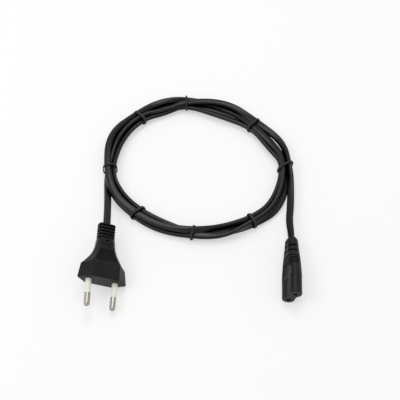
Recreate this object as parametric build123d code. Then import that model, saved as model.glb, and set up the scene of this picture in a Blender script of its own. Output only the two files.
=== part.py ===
# Power lead: flat two-pin mains plug, coiled flat two-core cord held by ring ties, figure-eight connector.
# Millimetres, +Z up. The lead lies on Z = 0, the plug's pins and the connector's nose point along -Y,
# and the origin is on the floor midway between the plug and the connector.
import os
from math import atan2, cos, degrees, hypot, pi, radians, sin, tan

from build123d import *

# Flat two-core cord
CORD_W = 5.4
CORD_T = 3.2
CORE_R = 1.1
WIRE_R = 0.55
CORE_X = 1.2
CORE_BEND = 2.0
BARE_WIRE = 1.2
CRIMP_STOP = 0.6

# Plug: flat mains plug, two 4 mm round pins
FACE_W = 34.4
FACE_T = 13.7
FACE_FLAT = 19.6
SIDE_FLAT = 1.2
PLUG_LENGTH = 43.0
# Waist of the plug: distance behind the face, then halves of the width, thickness, flat top and flat side
WAIST = [
    (10.6, 15.7, 6.85, 9.8, 0.6),
    (12.4, 14.0, 6.7, 9.3, 0.8),
    (15.6, 11.4, 6.3, 7.6, 1.6),
    (20.6, 8.4, 5.65, 5.6, 2.2),
    (26.0, 6.7, 4.95, 4.5, 2.4),
    (31.4, 5.9, 4.4, 4.0, 2.5),
]
RELIEF_START = 30.2
RELIEF_W = 12.2
RELIEF_T = 7.2
RELIEF_CORNER = 2.3
RELIEF_GROOVES = 5
GROOVE_W = 1.25
GROOVE_DEPTH = 1.3
GROOVE_DEPTH_SIDE = 1.9
GROOVE_CORNER = 1.2
GRIP_LINES = 7
GRIP_START = 13.4
GRIP_PITCH = 1.35
GRIP_W = 0.55
GRIP_DEPTH = 0.4
GRIP_HALF = 7.4
GRIP_TAPER = 0.33
VENT_R = 0.85
VENT_DEPTH = 1.8
VENT_Y = 28.9
CREASE_R = 13.0
CREASE_Y = 25.7
PLUG_EDGE = 0.7

# Pins
PIN_R = 2.0
PIN_LENGTH = 19.0
PIN_GAP = 18.8
PIN_TIP_GAP = 17.7
PIN_ROUND = 1.2
PIN_DIMPLE_R = 0.35
SLEEVE_LENGTH = 10.0
SLEEVE_R = 2.05
SLEEVE_END_R = 1.93
PIN_WAIST_R = 1.45
HOLDER_START = 1.5
HOLDER_LENGTH = 5.0
HOLDER_W = 24.4
HOLDER_T = 6.0
HOLDER_CORNER = 1.4
FLANGE_R = 2.7
FLANGE_T = 1.2
BARREL_R = 1.8
BARREL_LENGTH = 4.4
PLUG_CORE_OUT = 3.4
PLUG_CORE_IN = 5.5
CORD_IN_PLUG = 9.0

# Connector: two-contact figure-eight appliance connector
CONTACT_GAP = 8.6
LOBE_R = 4.4
WEB_T = 6.8
NOSE_LENGTH = 12.6
CONNECTOR_LENGTH = 46.5
# Body, neck and strain relief, then the domed collar: distance behind the nose, width, thickness
NECK = [(12.6, 17.6, 9.0), (18.5, 16.9, 9.0), (25.0, 15.4, 9.0), (33.0, 12.9, 8.7), (43.3, 10.2, 8.2)]
COLLAR = [(43.3, 10.2, 8.2), (45.0, 9.0, 6.9), (46.5, 7.0, 4.8)]
RIBS = 4
RIB_START = 23.5
RIB_PITCH = 1.95
RIB_W = 0.8
RIB_DEPTH = 0.7
SLOTS = 3
SLOT_W = 1.25
SLOT_START = 34.0
SLOT_PITCH = 4.15
SLOT_TOP_W = 6.4
SLOT_SIDE_W = 4.4
SLOT_WALL = 0.7
PANEL_W = 10.0
PANEL_START = 12.6
PANEL_END = 22.4
PANEL_DEPTH = 0.5
DISH_R = 17.0
DISH_DEPTH = 0.8
DISH_Y = 17.0
NOSE_EDGE = 0.5
SOCKET_R = 1.5
CONTACT_BORE_R = 1.25
CONTACT_R = 1.85
CONTACT_START = 2.5
CONTACT_LENGTH = 11.0
CRIMP_LENGTH = 4.6
CONTACT_SLIT = 0.5
CONTACT_SLIT_LENGTH = 7.0
CONTACT_END_WALL = 1.0
CRIMP_R = 1.65
INSERT_START = 1.4
INSERT_LENGTH = 13.6
INSERT_T = 4.9
INSERT_R = 2.6
CONNECTOR_CORE_OUT = 4.0
CONNECTOR_CORE_IN = 4.0
CORD_IN_CONNECTOR = 10.0

# Where the two moulded ends lie: position of the front face, then turn about Z, pitch and roll in degrees
PLUG_AT = (-59.9, -12.0, 10.5)
PLUG_TURN = (-0.5, 2.4, 26.8)
CONNECTOR_AT = (67.7, -22.6, 8.9)
CONNECTOR_TURN = (-4.0, -2.4, -63.0)

# Coil: centre of the bundle and half its width, at each tie and halfway to the next, clockwise from the left
COIL_HEIGHT = 8.2
COIL_EDGE = 3.4
COIL = [
    (-62.0, 84.3, 4.1),
    (-56.3, 115.7, 6.0),
    (-41.5, 137.0, 5.5),
    (-24.1, 148.2, 6.4),
    (-4.7, 152.2, 5.2),
    (24.9, 145.2, 8.4),
    (48.6, 129.0, 5.7),
    (64.1, 108.8, 7.4),
    (71.3, 88.2, 4.3),
    (61.3, 56.4, 5.4),
    (43.7, 39.8, 4.7),
    (21.7, 31.2, 5.4),
    (1.1, 29.8, 4.2),
    (-20.7, 35.6, 5.0),
    (-38.9, 46.6, 4.9),
    (-53.7, 62.6, 5.0),
]
# Ties: soft bands. In the same order, each band's turn from square to the bundle and its lean in degrees,
# its slack, which stands off on the inside of the loop, and its width
TIE_T = 0.8
TIE_EDGE = 0.3
TIE_PLAY = 0.15
TIES = [
    (4.0, 18.0, 0.8, 1.2),
    (2.0, 0.0, 0.0, 2.2),
    (4.0, 0.0, 0.0, 1.4),
    (-3.0, 0.0, 0.0, 1.9),
    (34.0, 0.0, 0.8, 1.6),
    (-2.0, 0.0, 0.0, 2.2),
    (-8.0, 0.0, 0.0, 1.7),
    (-16.0, 0.0, 0.0, 2.0),
]

# Free stretches of the cord, from the moulded ends to the coil
PLUG_TAIL = [(-60.6, 55.2, 9.6), (-62.7, 75.2, 5.6)]
CONNECTOR_TAIL = [(72.2, 49.2, 5.4), (73.5, 79.2, 5.2)]


def place(at, turn):
    return Pos(*at) * Rot(Z=turn[0]) * Rot(X=turn[1]) * Rot(Y=turn[2])


def spot(frame, y):
    """Where a station on a piece's own centre line lies once the piece is placed."""
    return (frame * Pos(0, y, 0)).position


def slab(y, width, size=60):
    return Pos(0, y, 0) * Box(size, width, size)


def along(radius, y0, y1, x=0.0, z=0.0):
    """A round bar along Y between two stations."""
    return Pos(x, (y0 + y1) / 2, z) * Rot(X=90) * Cylinder(radius, abs(y1 - y0))


def cone(r0, r1, y0, y1):
    """A tapered round bar along Y, r0 at y0 and r1 at y1."""
    return Pos(0, (y0 + y1) / 2, 0) * Rot(X=-90) * Cone(r0, r1, y1 - y0)


def across(y):
    """The plane square to Y at a station, X kept and Z up."""
    return Plane(origin=(0, y, 0), x_dir=(1, 0, 0), z_dir=(0, -1, 0))


def tube_path(points):
    """Straight runs joined by tangent arcs. Prints the arcs' radii."""
    radii = []
    for i in range(1, len(points) - 1):
        before = Vector(*points[i]) - Vector(*points[i - 1])
        after = Vector(*points[i + 1]) - Vector(*points[i])
        half = radians(before.get_angle(after)) / 2
        radii.append(0.45 * min(before.length, after.length) / tan(half))
    print("arc radii", [round(r, 1) for r in radii])
    return FilletPolyline(*points, radius=radii)


def sweep_flat(path, x_dir, width, thick):
    """Sweeps the flat cord's section along a path, its width starting along x_dir."""
    start = Plane(origin=path @ 0, x_dir=x_dir, z_dir=path % 0)
    return sweep(start * SlotOverall(width, thick), path=path)


def sweep_round(points, radius, bend):
    """Sweeps a round section along straight runs with rounded corners."""
    path = FilletPolyline(*points, radius=bend)
    return sweep(Plane(origin=path @ 0, z_dir=path % 0) * Circle(radius), path=path)


def only(shape):
    """The one solid of a shape."""
    found = shape.solids()
    assert len(found) == 1, len(found)
    return found[0]


# Plug: moulded outline, as eight-sided sections from the face back to the waist
def plug_section(y, half_w, half_t, flat, side):
    corners = [(half_w, side), (flat, half_t), (-flat, half_t), (-half_w, side)]
    corners += [(-half_w, -side), (-flat, -half_t), (flat, -half_t), (half_w, -side)]
    return across(y) * make_face(Polyline(*corners, close=True))


half_face, half_thick, half_flat = FACE_W / 2, FACE_T / 2, FACE_FLAT / 2
face = plug_section(0.0, half_face, half_thick, half_flat, SIDE_FLAT / 2)
front = loft([face, plug_section(*WAIST[0])], ruled=True)
waist = loft([plug_section(*row) for row in WAIST])
plug_outer = front + waist
plug_outer = fillet(plug_outer.edges().group_by(Axis.Y)[0], PLUG_EDGE)

# Plug: flexing ribs of the cord's strain relief
relief_length = PLUG_LENGTH - RELIEF_START
relief_shape = RectangleRounded(RELIEF_W, RELIEF_T, RELIEF_CORNER)
relief = extrude(across(RELIEF_START) * relief_shape, -relief_length)
relief_pitch = relief_length / (RELIEF_GROOVES + 0.35)
core_w, core_t = RELIEF_W - 2 * GROOVE_DEPTH_SIDE, RELIEF_T - 2 * GROOVE_DEPTH
core_shape = RectangleRounded(core_w, core_t, GROOVE_CORNER)
core_bar = extrude(across(RELIEF_START - 1) * core_shape, -(relief_length + 2))
for i in range(RELIEF_GROOVES):
    relief -= slab(RELIEF_START + relief_pitch * (i + 0.75), GROOVE_W, 20) - core_bar
plug_outer += relief


def top_at(y):
    """Half the plug's thickness on its grip, at a station behind the face."""
    for before, after in zip(WAIST, WAIST[1:]):
        if y <= after[0]:
            return before[2] + (after[2] - before[2]) * (y - before[0]) / (after[0] - before[0])
    return WAIST[-1][2]


# Plug: fine grip lines, a crease and a mould vent, on both broad faces
for side in (1, -1):
    for i in range(GRIP_LINES):
        y = GRIP_START + i * GRIP_PITCH
        depth = GRIP_DEPTH * (1.5 if i == GRIP_LINES - 1 else 1.0)
        half = GRIP_HALF - GRIP_TAPER * i
        plug_outer -= Pos(0, y, side * (top_at(y) - depth + 2)) * Box(2 * half, GRIP_W, 4)
    ring = Pos(0, CREASE_Y + CREASE_R, side * (top_at(CREASE_Y) - GRIP_DEPTH + 2)) * (
        Cylinder(CREASE_R, 4) - Cylinder(CREASE_R - GRIP_W, 4)
    )
    plug_outer -= ring & (Pos(0, CREASE_Y, 0) * Box(RELIEF_W - 2.4, 5, 40))
    plug_outer -= Pos(0, VENT_Y, side * (top_at(VENT_Y) - VENT_DEPTH + 2)) * Cylinder(VENT_R, 4)

# Plug: pins, sleeves, pin holder and the cores crimped to them, built along -Y and leaned together
lean = degrees(atan2((PIN_GAP - PIN_TIP_GAP) / 2, PIN_LENGTH))
holder_end = HOLDER_START + HOLDER_LENGTH
barrel_end = holder_end + BARREL_LENGTH
tip = along(PIN_R, -PIN_LENGTH, -SLEEVE_LENGTH)
tip = fillet(tip.edges().group_by(Axis.Y)[0], PIN_ROUND)
tip -= Pos(0, -PIN_LENGTH, 0) * Sphere(PIN_DIMPLE_R)
pin_shape = tip + along(PIN_WAIST_R, -SLEEVE_LENGTH, HOLDER_START)
pin_shape += along(PIN_R, HOLDER_START, holder_end)
pin_shape += along(FLANGE_R, holder_end - 2 * FLANGE_T, holder_end - FLANGE_T)
pin_shape += along(BARREL_R, holder_end, barrel_end)
pin_shape -= along(WIRE_R, holder_end + CRIMP_STOP, barrel_end)
sleeve_shape = cone(SLEEVE_END_R, SLEEVE_R, -SLEEVE_LENGTH, HOLDER_START)
sleeve_shape -= along(PIN_WAIST_R, -SLEEVE_LENGTH, HOLDER_START)
holder = Pos(0, HOLDER_START + HOLDER_LENGTH / 2, 0) * Box(HOLDER_W, HOLDER_LENGTH, HOLDER_T)
holder = fillet(holder.edges().filter_by(Axis.Y), HOLDER_CORNER)

plug_parts = {}
for name, side in (("line", -1), ("neutral", 1)):
    at = Pos(side * PIN_GAP / 2, 0, 0) * Rot(Z=-side * lean)
    pin = only(at * pin_shape)
    plug_parts[name + "_pin"] = pin
    sleeve = only(at * sleeve_shape)
    plug_parts[name + "_pin_sleeve"] = sleeve
    holder -= pin + sleeve
    crimp = spot(at, holder_end + CRIMP_STOP)
    bare = spot(at, barrel_end + BARE_WIRE)
    bend = spot(at, barrel_end + PLUG_CORE_OUT)
    inlet = PLUG_LENGTH - CORD_IN_PLUG
    way = [(bare.X, bare.Y, 0), (bend.X, bend.Y, 0)]
    way += [(side * CORE_X, inlet - PLUG_CORE_IN, 0), (side * CORE_X, inlet, 0)]
    core = sweep_round(way, CORE_R, CORE_BEND)
    wire = sweep_round([(crimp.X, crimp.Y, 0)] + way[1:], WIRE_R, CORE_BEND)
    plug_parts["plug_" + name + "_core"] = only(core - wire)
    plug_parts["plug_" + name + "_wire"] = only(wire)
plug_parts["plug_pin_holder"] = only(holder)

# Connector: figure-eight nose, flat body, then the tapering neck and strain relief
half_gap = CONTACT_GAP / 2
lobes = Pos(-half_gap, 0) * Circle(LOBE_R) + Pos(half_gap, 0) * Circle(LOBE_R)
nose = extrude(across(0) * (lobes + Rectangle(CONTACT_GAP, WEB_T)), -NOSE_LENGTH)
nose = fillet(nose.edges().group_by(Axis.Y)[0], NOSE_EDGE)
body = loft([across(y) * SlotOverall(w, t) for y, w, t in NECK])
collar = loft([across(y) * SlotOverall(w, t) for y, w, t in COLLAR])


def section_at(y):
    """Width and thickness of the connector's outline at a station behind its nose."""
    for (y0, w0, t0), (y1, w1, t1) in zip(NECK, NECK[1:]):
        if y <= y1:
            part = (y - y0) / (y1 - y0)
            return w0 + (w1 - w0) * part, t0 + (t1 - t0) * part
    return NECK[-1][1:]


# Connector: grip ribs all round, flexing slots that face up, down and sideways as the connector lies,
# and on each broad face a sunk panel with a thumb dish
for i in range(RIBS):
    y = RIB_START + i * RIB_PITCH
    w, t = section_at(y)
    keep = extrude(across(y - RIB_W) * SlotOverall(w - 2 * RIB_DEPTH, t - 2 * RIB_DEPTH), -2 * RIB_W)
    body -= slab(y, RIB_W, 24) - keep
roll = radians(CONNECTOR_TURN[2])
cord_flat = (CORD_W - CORD_T) / 2
top_floor = cord_flat * abs(sin(roll)) + CORD_T / 2 + SLOT_WALL
side_floor = cord_flat * cos(roll) + CORD_T / 2 + SLOT_WALL
for i in range(SLOTS):
    y = SLOT_START + i * SLOT_PITCH
    for side in (1, -1):
        level = Pos(0, y, 0) * Rot(Y=-CONNECTOR_TURN[2])
        body -= level * Pos(side * (side_floor + 5), 0, 0) * Box(10, SLOT_W, SLOT_SIDE_W)
        if i < SLOTS - 1:
            body -= level * Pos(0, 0, side * (top_floor + 5)) * Box(SLOT_TOP_W, SLOT_W, 10)
panel_y = (PANEL_START + PANEL_END) / 2
panel_z = section_at(panel_y)[1] / 2 - PANEL_DEPTH
for side in (1, -1):
    body -= Pos(0, panel_y, side * (panel_z + 2)) * Box(PANEL_W, PANEL_END - PANEL_START, 4)
    body -= Pos(0, DISH_Y, side * (panel_z + DISH_R - DISH_DEPTH)) * Sphere(DISH_R)
connector_outer = nose + body + collar

# Connector: insert, contacts and the cores crimped to them
contact_end = CONTACT_START + CONTACT_LENGTH
crimp_end = contact_end + CRIMP_LENGTH
insert = extrude(across(INSERT_START) * SlotOverall(CONTACT_GAP + 2 * INSERT_R, INSERT_T), -INSERT_LENGTH)
bore_end = contact_end - CONTACT_END_WALL
contact_shape = along(CONTACT_R, CONTACT_START, contact_end)
contact_shape -= along(CONTACT_BORE_R, CONTACT_START, bore_end)
slit_y = CONTACT_START + CONTACT_SLIT_LENGTH / 2
contact_shape -= Pos(0, slit_y, 4) * Box(CONTACT_SLIT, CONTACT_SLIT_LENGTH, 8)
contact_shape += along(CRIMP_R, contact_end, crimp_end)
contact_shape -= along(WIRE_R, contact_end + CRIMP_STOP, crimp_end)
connector_parts = {}
sockets = None
for name, side in (("line", -1), ("neutral", 1)):
    contact = only(Pos(side * half_gap, 0, 0) * contact_shape)
    connector_parts[name + "_contact"] = contact
    mouth = along(SOCKET_R, 0, CONTACT_START, side * half_gap)
    seat = along(CONTACT_R, CONTACT_START, contact_end, side * half_gap)
    rear = along(CRIMP_R, contact_end, crimp_end, side * half_gap)
    insert -= mouth + seat + rear
    opening = mouth + along(CONTACT_BORE_R, CONTACT_START, bore_end, side * half_gap)
    opening += seat + rear
    sockets = opening if sockets is None else sockets + opening
    inlet = CONNECTOR_LENGTH - CORD_IN_CONNECTOR
    x = side * half_gap
    way = [(x, crimp_end + BARE_WIRE, 0), (x, crimp_end + CONNECTOR_CORE_OUT, 0)]
    way += [(side * CORE_X, inlet - CONNECTOR_CORE_IN, 0), (side * CORE_X, inlet, 0)]
    core = sweep_round(way, CORE_R, CORE_BEND)
    wire = sweep_round([(x, contact_end + CRIMP_STOP, 0)] + way[1:], WIRE_R, CORE_BEND)
    connector_parts["connector_" + name + "_core"] = only(core - wire)
    connector_parts["connector_" + name + "_wire"] = only(wire)
connector_parts["connector_insert"] = only(insert)

# Free stretches of cord: each starts inside its moulding and runs to the coil
plug_frame = place(PLUG_AT, PLUG_TURN)
connector_frame = place(CONNECTOR_AT, CONNECTOR_TURN)


def tail(frame, depth, length, points):
    path = tube_path([tuple(spot(frame, length - depth)), tuple(spot(frame, length + 3.0))] + points)
    x_dir = (frame * Pos(1, 0, 0)).position - frame.position
    return sweep_flat(path, x_dir, CORD_W, CORD_T), path.length


# Coil: one closed body of the bundle's outer shape
count = len(COIL)
outer_line, inner_line, headings = [], [], []
for i, (x, y, half) in enumerate(COIL):
    x0, y0, _ = COIL[i - 1]
    x1, y1, _ = COIL[(i + 1) % count]
    long = hypot(x1 - x0, y1 - y0)
    nx, ny = -(y1 - y0) / long, (x1 - x0) / long
    headings.append(degrees(atan2(ny, nx)))
    outer_line.append((x + nx * half, y + ny * half))
    inner_line.append((x - nx * half, y - ny * half))
plan = make_face(Spline(*outer_line, periodic=True)) - make_face(Spline(*inner_line, periodic=True))
coil = extrude(Pos(0, 0, TIE_T) * plan, COIL_HEIGHT)
coil = only(fillet(coil.edges().group_by(Axis.Z)[0] + coil.edges().group_by(Axis.Z)[-1], COIL_EDGE))

# Ties: closed bands round the bundle, flat on the floor under it
ties = {}
for i, (turn, lean, slack, wide) in enumerate(TIES):
    x, y, half = COIL[2 * i]
    stand = Pos(x, y, 0) * Rot(Z=headings[2 * i] + turn) * Pos(-slack / 2, 0, 0)
    inside = half / cos(radians(turn)) + wide / 2 * tan(radians(abs(turn))) + TIE_PLAY + slack / 2
    stretch = 1 / cos(radians(lean))
    high = COIL_HEIGHT + TIE_PLAY
    outline = RectangleRounded(2 * (inside + TIE_T), (high + 2 * TIE_T) * stretch, COIL_EDGE + TIE_T)
    outline -= RectangleRounded(2 * inside, high * stretch, COIL_EDGE)
    outline = stand * Rot(X=90 + lean) * Pos(0, (high / 2 + TIE_T) * stretch, 0) * outline
    way = (stand * Pos(0, 1, 0)).position - stand.position
    band = extrude(outline, wide / 2, dir=way, both=True)
    rims = [e for e in band.edges() if abs((e % 0.5).dot(way)) < 0.9]
    ties["tie_" + str(i + 1)] = only(fillet(rims, TIE_EDGE))

plug_tail, plug_tail_length = tail(plug_frame, CORD_IN_PLUG, PLUG_LENGTH, PLUG_TAIL)
connector_tail, connector_tail_length = tail(
    connector_frame, CORD_IN_CONNECTOR, CONNECTOR_LENGTH, CONNECTOR_TAIL
)
section_area = (CORD_W - CORD_T) * CORD_T + pi * CORD_T**2 / 4
print("plug tail volume over section x length", round(plug_tail.volume / section_area / plug_tail_length, 4))
print("connector tail", round(connector_tail.volume / section_area / connector_tail_length, 4))

# The moulded bodies close on everything inside them
parts = {}
plug_body = plug_frame * plug_outer
for name, shape in plug_parts.items():
    placed = plug_frame * shape
    plug_body -= placed
    parts[name] = placed
plug_body -= plug_tail
connector_body = connector_frame * (connector_outer - sockets)
for name, shape in connector_parts.items():
    placed = connector_frame * shape
    connector_body -= placed
    parts[name] = placed
connector_body -= connector_tail
parts["plug_body"] = only(plug_body)
parts["connector_body"] = only(connector_body)
parts["cord_plug_tail"] = max((plug_tail - coil).solids(), key=lambda s: s.volume)
parts["cord_connector_tail"] = max((connector_tail - coil).solids(), key=lambda s: s.volume)
parts["cord_coil"] = coil
parts.update(ties)

os.makedirs("parts", exist_ok=True)
low = [1e9] * 3
high = [-1e9] * 3
for name, shape in parts.items():
    export_step(shape, "parts/" + name + ".step")
    if name in ("plug_body", "connector_body") or name.endswith(("_pin", "_sleeve")):
        box = shape.bounding_box()
        low = [min(a, b) for a, b in zip(low, box.min)]
        high = [max(a, b) for a, b in zip(high, box.max)]
print("moulded ends from", [round(v, 2) for v in low], "to", [round(v, 2) for v in high])
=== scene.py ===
# Power lead: flat two-pin plug, coiled flat cord held by soft bands, figure-eight connector
from math import cos, pi, radians, sin

import bpy
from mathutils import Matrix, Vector


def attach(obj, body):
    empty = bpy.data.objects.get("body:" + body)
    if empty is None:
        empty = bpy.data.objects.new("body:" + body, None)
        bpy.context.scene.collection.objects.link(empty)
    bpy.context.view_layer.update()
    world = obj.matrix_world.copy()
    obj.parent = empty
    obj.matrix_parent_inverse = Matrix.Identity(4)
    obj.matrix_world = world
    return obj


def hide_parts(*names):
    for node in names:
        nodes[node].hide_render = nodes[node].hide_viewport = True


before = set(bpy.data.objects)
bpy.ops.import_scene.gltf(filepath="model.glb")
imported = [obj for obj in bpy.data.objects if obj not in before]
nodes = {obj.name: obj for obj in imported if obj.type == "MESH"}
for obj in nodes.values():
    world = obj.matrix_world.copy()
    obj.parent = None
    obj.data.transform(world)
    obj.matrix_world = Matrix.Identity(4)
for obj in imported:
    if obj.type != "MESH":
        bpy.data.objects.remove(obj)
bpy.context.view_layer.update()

scene = bpy.context.scene
MM = 0.001


# Camera: a 63 mm lens on a 36 mm sensor, 56 degrees above the floor and square to it,
# aimed between the coil and the two moulded ends.
def add_object(name, data):
    obj = bpy.data.objects.new(name, data)
    scene.collection.objects.link(obj)
    return obj


def aim(obj, place, target):
    """Puts a camera or lamp at a place and points it at a target."""
    obj.location = place
    obj.rotation_mode = "QUATERNION"
    obj.rotation_quaternion = (Vector(target) - Vector(place)).to_track_quat("-Z", "Y")


CAMERA_TARGET = Vector((6.3, 61.2, 0.0)) * MM
CAMERA_DISTANCE = 521 * MM
CAMERA_ELEVATION = radians(56.2)
camera_data = bpy.data.cameras.new("camera")
camera_data.lens = 63
camera_data.sensor_width = 36
camera_data.clip_start = 0.01
camera = add_object("camera", camera_data)
camera_back = Vector((0.0, -cos(CAMERA_ELEVATION), sin(CAMERA_ELEVATION)))
aim(camera, CAMERA_TARGET + camera_back * CAMERA_DISTANCE, CAMERA_TARGET)
scene.camera = camera


# Cord: flat two-core PVC cable, extruded in one length, moulded into the plug, wound three and a half turns
# and moulded into the connector. Its points are listed: those of the two tails as places and the way
# the flat side's width runs, those of the coil at each band and halfway to the next.
CORD_WIDTH = 5.4
CORD_THICK = 3.2
CORD_ROUND_STEPS = 8
PLUG_TAIL = [
    (-59.6, 22.0, 11.9),
    (-59.5, 34.0, 12.4),
    (-61.0, 55.2, 7.8),
    (-63.0, 71.0, 2.3),
]
PLUG_TAIL_WIDTH = (0.89, 0.0, -0.45)
CONNECTOR_TAIL = [
    (74.3, 74.2, 4.8),
    (72.6, 53.0, 5.0),
    (70.4, 39.0, 6.2),
    (71.1, 27.0, 6.8),
    (70.3, 16.6, 7.25),
]
CONNECTOR_TAIL_WIDTHS = [
    (0.8, 0.0, 0.6),
    (0.95, 0.0, 0.3),
    (0.9, 0.0, 0.43),
    (0.55, 0.0, 0.83),
    (0.45, 0.0, 0.89),
]
# The bundle's centre at each band and halfway to the next
STATIONS = [
    (-62.0, 84.3),
    (-56.3, 115.7),
    (-41.5, 137.0),
    (-24.1, 148.2),
    (-4.7, 152.2),
    (24.9, 145.2),
    (48.6, 129.0),
    (64.1, 108.8),
    (71.3, 88.2),
    (61.3, 56.4),
    (43.7, 39.8),
    (21.7, 31.2),
    (1.1, 29.8),
    (-20.7, 35.6),
    (-38.9, 46.6),
    (-53.7, 62.6),
]
# Each turn at those stations: distance outwards from the bundle's centre, height, and tilt in degrees
FIRST_TURN = [
    (1.0, 2.4, 0),
    (3.4, 1.9, 0),
    (1.4, 2.4, 0),
    (0.6, 2.4, 0),
    (0.4, 2.6, 0),
    (-1.6, 1.9, 0),
    (1.0, 3.0, 20),
    (0.2, 2.6, 0),
    (1.0, 2.4, 0),
    (3.7, 2.2, 0),
    (1.4, 2.6, 0),
    (0.0, 2.4, 0),
    (-1.2, 2.5, 0),
    (-2.8, 4.8, 55),
    (-2.9, 5.4, 70),
    (-2.9, 4.2, 60),
]
SECOND_TURN = [
    (-2.8, 5.0, 75),
    (-2.7, 4.0, 50),
    (-3.25, 3.8, 45),
    (-5.6, 3.0, 30),
    (-3.2, 3.7, 50),
    (-7.3, 4.1, 60),
    (-3.7, 3.6, 55),
    (-5.4, 4.0, 55),
    (-3.1, 4.3, 75),
    (-1.9, 5.0, 40),
    (-2.2, 5.6, 25),
    (-4.0, 4.1, 90),
    (-1.1, 7.2, 15),
    (0.3, 6.3, 0),
    (0.8, 6.5, 0),
    (2.2, 7.5, 0),
]
THIRD_TURN = [
    (0.9, 7.4, 0),
    (6.9, 6.0, -20),
    (3.1, 6.2, -60),
    (3.9, 6.1, 0),
    (3.2, 4.8, -60),
    (3.0, 3.0, 0),
    (-1.7, 6.2, 0),
    (-1.7, 5.8, 0),
    (-1.3, 6.7, 50),
    (1.0, 5.8, 60),
    (1.6, 6.3, 60),
    (3.0, 5.2, 170),
    (1.6, 4.6, 188),
    (2.1, 3.0, 185),
    (2.2, 3.1, 180),
    (2.8, 4.9, 180),
]
LAST_HALF_TURN = [
    (1.2, 4.9, 180),
    (0.9, 5.2, 265),
    (-0.4, 6.2, 260),
    (-4.4, 5.4, 250),
    (-0.6, 6.6, 180),
    (4.9, 7.2, 178),
    (3.2, 6.0, 150),
    (6.1, 5.0, 135),
    (2.6, 6.3, 100),
]

route = [Vector(p) for p in PLUG_TAIL]
widths = [Vector(PLUG_TAIL_WIDTH)] * len(PLUG_TAIL)
for turn in (FIRST_TURN, SECOND_TURN, THIRD_TURN, LAST_HALF_TURN):
    for i, (out, height, tilt) in enumerate(turn):
        x, y = STATIONS[i]
        x0, y0 = STATIONS[i - 1]
        x1, y1 = STATIONS[(i + 1) % len(STATIONS)]
        outward = Vector((-(y1 - y0), x1 - x0, 0.0)).normalized()
        tilt = radians(tilt)
        route.append(Vector((x, y, height)) + outward * out)
        widths.append(outward * -cos(tilt) + Vector((0.0, 0.0, sin(tilt))))
route += [Vector(p) for p in CONNECTOR_TAIL]
widths += [Vector(w) for w in CONNECTOR_TAIL_WIDTHS]
# The spline cuts inside its control points, so those of the coil stand out by as much
coil = range(len(PLUG_TAIL), len(route) - len(CONNECTOR_TAIL))
route = [p + (2 * p - route[i - 1] - route[i + 1]) / 8 if i in coil else p for i, p in enumerate(route)]


def smooth_line(points):
    """Points along a NURBS spline with these control points."""
    data = bpy.data.curves.new("route", "CURVE")
    data.dimensions = "3D"
    data.resolution_u = 10
    spline = data.splines.new("NURBS")
    spline.points.add(len(points) - 1)
    for control, point in zip(spline.points, points):
        control.co = (*point, 1.0)
    spline.order_u = 3
    spline.use_endpoint_u = True
    holder = add_object("route", data)
    mesh = bpy.data.meshes.new_from_object(holder)
    line = [v.co.copy() for v in mesh.vertices]
    bpy.data.objects.remove(holder)
    bpy.data.meshes.remove(mesh)
    return line


# A second spline runs along one edge of the flat cord, and gives the way its flat side faces
EDGE_REACH = 10
centre_line = smooth_line([p * MM for p in route])
edge_line = smooth_line([(p + w * EDGE_REACH) * MM for p, w in zip(route, widths)])


def flat_section(width, thick, steps):
    """Outline of a flat cord: two straight sides and two half rounds."""
    half, radius = (width - thick) / 2, thick / 2
    points = []
    for side in (1, -1):
        for i in range(steps + 1):
            a = -pi / 2 + pi * i / steps
            points.append((side * (half + radius * cos(a)), side * radius * sin(a)))
    return points


section = flat_section(CORD_WIDTH * MM, CORD_THICK * MM, CORD_ROUND_STEPS)
around = len(section)
vertices, faces, reach = [], [], [0.0]
for i, (point, edge) in enumerate(zip(centre_line, edge_line)):
    ahead = centre_line[min(i + 1, len(centre_line) - 1)] - centre_line[max(i - 1, 0)]
    ahead.normalize()
    across = edge - point
    across = (across - ahead * across.dot(ahead)).normalized()
    up = across.cross(ahead)
    vertices += [point + across * a + up * b for a, b in section]
    if i:
        reach.append(reach[-1] + (point - centre_line[i - 1]).length)
        base = (i - 1) * around
        for j in range(around):
            k = (j + 1) % around
            faces.append((base + j, base + k, base + around + k, base + around + j))
last = len(vertices) - around
faces.append(tuple(range(around - 1, -1, -1)))
faces.append(tuple(range(last, last + around)))
cord_mesh = bpy.data.meshes.new("cord")
cord_mesh.from_pydata(vertices, [], faces)
cord_mesh.shade_smooth()
# The map runs along the cord in metres and once round it
cord_map = cord_mesh.uv_layers.new(name="along")
for face in cord_mesh.polygons:
    seam = face.index < len(faces) - 2 and face.index % around == around - 1
    for corner in face.loop_indices:
        ring, spot = divmod(cord_mesh.loops[corner].vertex_index, around)
        cord_map.data[corner].uv = (reach[ring], (around if seam and spot == 0 else spot) / around)
cord = add_object("cord", cord_mesh)


def feed(tree, socket, value):
    """Links an input to a value that is a socket, and sets it to any other."""
    if isinstance(value, bpy.types.NodeSocket):
        tree.links.new(value, socket)
    else:
        socket.default_value = value


def put(tree, kind, **inputs):
    """Adds a node to a tree and feeds its inputs."""
    new = tree.nodes.new(kind)
    for name, value in inputs.items():
        feed(tree, new.inputs[name.replace("_", " ")], value)
    return new


def combine(tree, operation, first, second):
    """Puts two values together by a sum, a product or the like."""
    new = tree.nodes.new("ShaderNodeMath")
    new.operation = operation
    feed(tree, new.inputs[0], first)
    feed(tree, new.inputs[1], second)
    return new.outputs["Value"]


def spread(tree, value, low, high):
    """Maps a value from 0 to 1 onto a range."""
    return put(tree, "ShaderNodeMapRange", Value=value, To_Min=low, To_Max=high).outputs["Result"]


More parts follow.
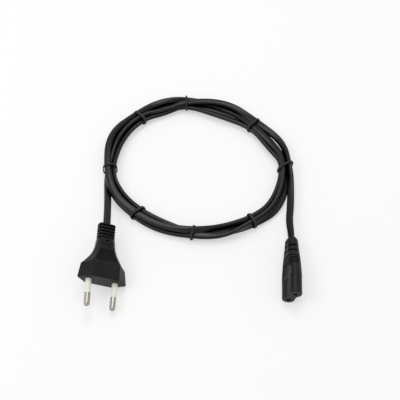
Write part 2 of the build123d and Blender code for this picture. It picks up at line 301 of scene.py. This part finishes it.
def start_group(name, inputs, outputs):
    """A shader node group with these inputs and their usual values, and these outputs."""
    tree = bpy.data.node_groups.new(name, "ShaderNodeTree")
    for label, usual in inputs.items():
        kind = "NodeSocketVector" if usual is None else "NodeSocketFloat"
        socket = tree.interface.new_socket(label, in_out="INPUT", socket_type=kind)
        if usual is not None:
            socket.default_value = usual
    for label in outputs:
        tree.interface.new_socket(label, in_out="OUTPUT", socket_type="NodeSocketFloat")
    given = tree.nodes.new("NodeGroupInput").outputs
    result = tree.nodes.new("NodeGroupOutput").inputs
    return tree, given, result


def place_group(tree, group, **inputs):
    """Puts a shared group into a material's tree."""
    new = tree.nodes.new("ShaderNodeGroup")
    new.node_tree = group
    for name, value in inputs.items():
        feed(tree, new.inputs[name], value)
    return new.outputs


# Skin of a moulded or extruded plastic: fine grain, and broad patches where it cooled a little glossier
skin_inputs = {"Place": None, "Grain": 1800.0, "Patch": 90.0}
skin, given, result = start_group("plastic_skin", skin_inputs, ["Grain", "Patch"])
fine = put(skin, "ShaderNodeTexNoise", Vector=given["Place"], Scale=given["Grain"], Detail=2.0, Roughness=0.6)
broad = put(skin, "ShaderNodeTexNoise", Vector=given["Place"], Scale=given["Patch"], Detail=3.0, Roughness=0.55)
skin.links.new(fine.outputs["Fac"], result["Grain"])
skin.links.new(broad.outputs["Fac"], result["Patch"])

# Handling: short pale rubs and a little dust, thin and far apart
rubs_inputs = {"Place": None, "Size": 60.0, "Amount": 0.2}
rubs, given, result = start_group("handling_rubs", rubs_inputs, ["Rub"])
cloud = put(rubs, "ShaderNodeTexNoise", Vector=given["Place"], Scale=given["Size"], Detail=4.0, Distortion=1.5)
specks = put(rubs, "ShaderNodeTexVoronoi", Vector=given["Place"], Scale=900.0)
worn = put(rubs, "ShaderNodeMapRange", Value=cloud.outputs["Fac"], From_Min=0.52, From_Max=0.78)
dusty = put(rubs, "ShaderNodeMapRange", Value=specks.outputs["Distance"], From_Min=0.16, From_Max=0.05)
both = combine(rubs, "MAXIMUM", worn.outputs["Result"], dusty.outputs["Result"])
rubs.links.new(combine(rubs, "MULTIPLY", both, given["Amount"]), result["Rub"])


def finish(name):
    """A new node material: its tree, its shader and the place on the object."""
    material = bpy.data.materials.new(name)
    material.use_nodes = True
    tree = material.node_tree
    return material, tree, tree.nodes["Principled BSDF"], put(tree, "ShaderNodeTexCoord").outputs


def two_tones(tree, factor, dark, light):
    """Mixes two colours by a factor. The second may be a socket."""
    mix = tree.nodes.new("ShaderNodeMix")
    mix.data_type = "RGBA"
    feed(tree, mix.inputs["A"], (*dark, 1.0))
    feed(tree, mix.inputs["B"], light if isinstance(light, bpy.types.NodeSocket) else (*light, 1.0))
    tree.links.new(factor, mix.inputs["Factor"])
    return mix.outputs["Result"]


def bumped(tree, shader, height, depth):
    """Gives a shader relief of this depth in metres."""
    bump = put(tree, "ShaderNodeBump", Height=height, Strength=1.0, Distance=depth)
    tree.links.new(bump.outputs["Normal"], shader.inputs["Normal"])
    return bump


def painted_crevice_shade(tree, reach, sheen):
    """Painted shade: a surface's sheen, dimmed where ambient occlusion finds it closed in, so crevices and gaps
    look dark.
    """
    open_sky = put(tree, "ShaderNodeAmbientOcclusion", Distance=reach)
    dim = put(tree, "ShaderNodeMapRange", Value=open_sky.outputs["AO"], From_Min=0.25, From_Max=0.85)
    return combine(tree, "MULTIPLY", dim.outputs["Result"], sheen)


# Extruded skin: streaks drawn out along the cord by the die, and rubs from being wound up
cord_pvc, tree, shader, place = finish("cord_pvc")
drawn = put(tree, "ShaderNodeMapping", Vector=place["UV"], Scale=(14.0, 14.0, 1.0))
streaks = put(tree, "ShaderNodeTexNoise", Vector=drawn.outputs["Vector"], Scale=1.0, Detail=3.0)
grain = place_group(tree, skin, Place=place["Object"], Grain=2600.0, Patch=70.0)
worn = place_group(tree, rubs, Place=place["Object"], Size=110.0, Amount=0.25)
tone = two_tones(tree, worn["Rub"], (0.0016, 0.0016, 0.0018), (0.012, 0.012, 0.012))
tree.links.new(tone, shader.inputs["Base Color"])
tree.links.new(spread(tree, streaks.outputs["Fac"], 0.22, 0.38), shader.inputs["Roughness"])
# Painted shade: the sheen is dimmed where other strands lie within 4 mm, so the gaps between turns look dark
sheen = painted_crevice_shade(tree, 4 * MM, spread(tree, streaks.outputs["Fac"], 0.0, 0.75))
tree.links.new(sheen, shader.inputs["Specular IOR Level"])
fine = bumped(tree, shader, grain["Grain"], 0.01 * MM)
lines = put(tree, "ShaderNodeBump", Height=streaks.outputs["Fac"], Strength=1.0, Distance=0.06 * MM)
tree.links.new(lines.outputs["Normal"], fine.inputs["Normal"])
cord_mesh.materials.append(cord_pvc)

bands = ["tie_" + str(i + 1) for i in range(8)]
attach(cord, "root")
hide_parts("cord_plug_tail", "cord_coil", "cord_connector_tail")


# Cores: inside the mouldings the cord's two copper conductors part, each in its own coloured PVC insulation.
# They are crimped to the pins and to the contacts, and the mouldings hide them.
def dress(material, *names):
    """Gives CAD nodes a material."""
    for name in names:
        nodes[name].data.materials.clear()
        nodes[name].data.materials.append(material)


def plastic(name, dark, light, low, high, grain_size, depth):
    """A moulded plastic: two tones, a range of roughness and a fine grain."""
    material, tree, shader, place = finish(name)
    grain = place_group(tree, skin, Place=place["Object"], Grain=grain_size, Patch=120.0)
    tree.links.new(two_tones(tree, grain["Patch"], dark, light), shader.inputs["Base Color"])
    tree.links.new(spread(tree, grain["Patch"], low, high), shader.inputs["Roughness"])
    bumped(tree, shader, grain["Grain"], depth)
    return material


def metal(name, dark, light, low, high, lay):
    """A drawn or turned metal: two tones, and fine marks that run the way the metal was worked."""
    material, tree, shader, place = finish(name)
    shader.inputs["Metallic"].default_value = 1.0
    marks = put(tree, "ShaderNodeMapping", Vector=place["Object"], Scale=lay)
    lines = put(tree, "ShaderNodeTexNoise", Vector=marks.outputs["Vector"], Scale=1.0, Detail=3.0)
    tree.links.new(two_tones(tree, lines.outputs["Fac"], dark, light), shader.inputs["Base Color"])
    tree.links.new(spread(tree, lines.outputs["Fac"], low, high), shader.inputs["Roughness"])
    bumped(tree, shader, lines.outputs["Fac"], 0.004 * MM)
    return material


brown = plastic("line_insulation", (0.20, 0.09, 0.04), (0.25, 0.12, 0.055), 0.4, 0.55, 2000.0, 0.01 * MM)
blue = plastic("neutral_insulation", (0.05, 0.19, 0.5), (0.08, 0.24, 0.58), 0.4, 0.55, 2000.0, 0.01 * MM)
copper = metal("copper", (0.66, 0.33, 0.18), (0.76, 0.42, 0.26), 0.25, 0.45, (4000.0, 300.0, 4000.0))
for end in ("plug", "connector"):
    dress(brown, end + "_line_core")
    dress(blue, end + "_neutral_core")
    dress(copper, end + "_line_wire", end + "_neutral_wire")


# Pins: turned nickel-plated brass, 4 mm thick, with a rounded tip. Each carries a sleeve of white plastic from
# the plug's face to half its length, and is held in a holder before the plug is moulded round it.
nickel = metal("pin_metal", (0.4, 0.375, 0.335), (0.5, 0.468, 0.42), 0.3, 0.42, (2600.0, 160.0, 2600.0))
# Painted shade: a dark spot in the flat of each tip, where the turning tool's centre dimple holds shade
TIP_DEPTH = 0.2 * MM
DIMPLE_SHADE_RADIUS = 0.5 * MM
DIMPLE_SHADE_FADE = 0.25 * MM
DIMPLE_SHADE_TONE = (0.02, 0.018, 0.016)
tree = nickel.node_tree
shader = tree.nodes["Principled BSDF"]
tone = shader.inputs["Base Color"].links[0].from_socket
for pin in ("line_pin", "neutral_pin"):
    points = [v.co for v in nodes[pin].data.vertices]
    front = min(p.y for p in points)
    tip = [p for p in points if p.y < front + TIP_DEPTH]
    away = put(tree, "ShaderNodeVectorMath")
    away.operation = "DISTANCE"
    feed(tree, away.inputs[0], tree.nodes["Texture Coordinate"].outputs["Object"])
    feed(tree, away.inputs[1], sum(tip, Vector()) / len(tip))
    dimple_shade = put(tree, "ShaderNodeMapRange", Value=away.outputs["Value"], From_Min=DIMPLE_SHADE_RADIUS)
    dimple_shade.inputs["From Max"].default_value = DIMPLE_SHADE_RADIUS + DIMPLE_SHADE_FADE
    tone = two_tones(tree, dimple_shade.outputs["Result"], DIMPLE_SHADE_TONE, tone)
tree.links.new(tone, shader.inputs["Base Color"])
dress(nickel, "line_pin", "neutral_pin")
white = plastic("sleeve_plastic", (0.80, 0.785, 0.715), (0.83, 0.82, 0.755), 0.38, 0.52, 2200.0, 0.01 * MM)
dress(white, "line_pin_sleeve", "neutral_pin_sleeve")
holder_white = plastic("holder_plastic", (0.70, 0.69, 0.64), (0.76, 0.75, 0.71), 0.45, 0.6, 1500.0, 0.02 * MM)
dress(holder_white, "plug_pin_holder")


# Contacts: two rolled tubes of spring brass with a slit, crimped to the cores and held side by side in an
# insert, behind the two holes in the connector's nose. Their colour is darkened well below that of brass:
# painted shade, as they sit deep in the holes.
shaded_brass = metal("contact_metal", (0.1, 0.08, 0.045), (0.22, 0.18, 0.11), 0.4, 0.6, (3000.0, 400.0, 3000.0))
dress(shaded_brass, "line_contact", "neutral_contact")
dress(holder_white, "connector_insert")


# Mouldings: the plug and the connector are injection moulded round their insides, in one go with the strain
# reliefs, in black PVC. The tool leaves a fine satin grain on them, and handling leaves pale rubs.
moulded, tree, shader, place = finish("moulded_pvc")
grain = place_group(tree, skin, Place=place["Object"], Grain=1900.0, Patch=110.0)
worn = place_group(tree, rubs, Place=place["Object"], Size=140.0, Amount=0.3)
tone = two_tones(tree, worn["Rub"], (0.002, 0.002, 0.0017), (0.012, 0.012, 0.0115))
tree.links.new(tone, shader.inputs["Base Color"])
tree.links.new(spread(tree, grain["Patch"], 0.36, 0.52), shader.inputs["Roughness"])
# Painted shade: the sheen is dimmed in grooves, ribs and recesses within 2 mm
sheen = painted_crevice_shade(tree, 2 * MM, spread(tree, grain["Patch"], 0.2, 0.36))
tree.links.new(sheen, shader.inputs["Specular IOR Level"])
relief = bumped(tree, shader, grain["Grain"], 0.03 * MM)
soft_edge = put(tree, "ShaderNodeBevel", Radius=0.3 * MM)
tree.links.new(soft_edge.outputs["Normal"], relief.inputs["Normal"])
dress(moulded, "plug_body", "connector_body")


# Bands: eight soft flat rings slipped over the coil, of matt black rubber that has gone a little grey.
rubber, tree, shader, place = finish("tie_rubber")
shader.inputs["Specular IOR Level"].default_value = 0.2
grain = place_group(tree, skin, Place=place["Object"], Grain=1400.0, Patch=160.0)
worn = place_group(tree, rubs, Place=place["Object"], Size=220.0, Amount=0.5)
tone = two_tones(tree, worn["Rub"], (0.03, 0.0296, 0.0282), (0.066, 0.065, 0.062))
tree.links.new(tone, shader.inputs["Base Color"])
tree.links.new(spread(tree, grain["Patch"], 0.6, 0.8), shader.inputs["Roughness"])
bumped(tree, shader, grain["Grain"], 0.04 * MM)
dress(rubber, *bands)


# Floor and light: a plain white sweep, an even pale surround and two broad soft lamps.
FLOOR_HALF = 3.0
corners = [(-FLOOR_HALF, -FLOOR_HALF, 0), (FLOOR_HALF, -FLOOR_HALF, 0)]
corners += [(FLOOR_HALF, FLOOR_HALF, 0), (-FLOOR_HALF, FLOOR_HALF, 0)]
floor_mesh = bpy.data.meshes.new("floor")
floor_mesh.from_pydata(corners, [], [(0, 1, 2, 3)])
floor = add_object("floor", floor_mesh)
paper, tree, shader, place = finish("floor_paper")
shader.inputs["Base Color"].default_value = (0.95, 0.95, 0.95, 1.0)
shader.inputs["Roughness"].default_value = 0.9
shader.inputs["Specular IOR Level"].default_value = 0.1
# What the camera and reflections see of it is half plain white, so the shadow on it stays pale
ray = put(tree, "ShaderNodeLightPath").outputs
seen = combine(tree, "MAXIMUM", ray["Is Camera Ray"], ray["Is Glossy Ray"])
seen = combine(tree, "MAXIMUM", seen, ray["Is Transmission Ray"])
plain_white = put(tree, "ShaderNodeEmission", Strength=1.0)
blend = put(tree, "ShaderNodeMixShader", Fac=spread(tree, seen, 0.0, 0.5))
tree.links.new(shader.outputs["BSDF"], blend.inputs[1])
tree.links.new(plain_white.outputs["Emission"], blend.inputs[2])
tree.links.new(blend.outputs["Shader"], tree.nodes["Material Output"].inputs["Surface"])
floor_mesh.materials.append(paper)

world = bpy.data.worlds.new("surround")
scene.world = world
world.use_nodes = True
surround = world.node_tree.nodes["Background"]
surround.inputs["Color"].default_value = (1.0, 1.0, 1.0, 1.0)
surround.inputs["Strength"].default_value = 0.68


def soft_lamp(name, place, size, power):
    """A round lamp that shines on the middle of the part."""
    data = bpy.data.lights.new(name, "AREA")
    data.shape = "DISK"
    data.size = size
    data.energy = power
    aim(add_object(name, data), place, (0.0, 0.06, 0.0))


soft_lamp("top_lamp", (0.0, 0.5, 1.1), 0.6, 3.3)
soft_lamp("left_lamp", (-0.65, -0.1, 0.8), 0.45, 1.8)

scene.view_settings.view_transform = "Standard"
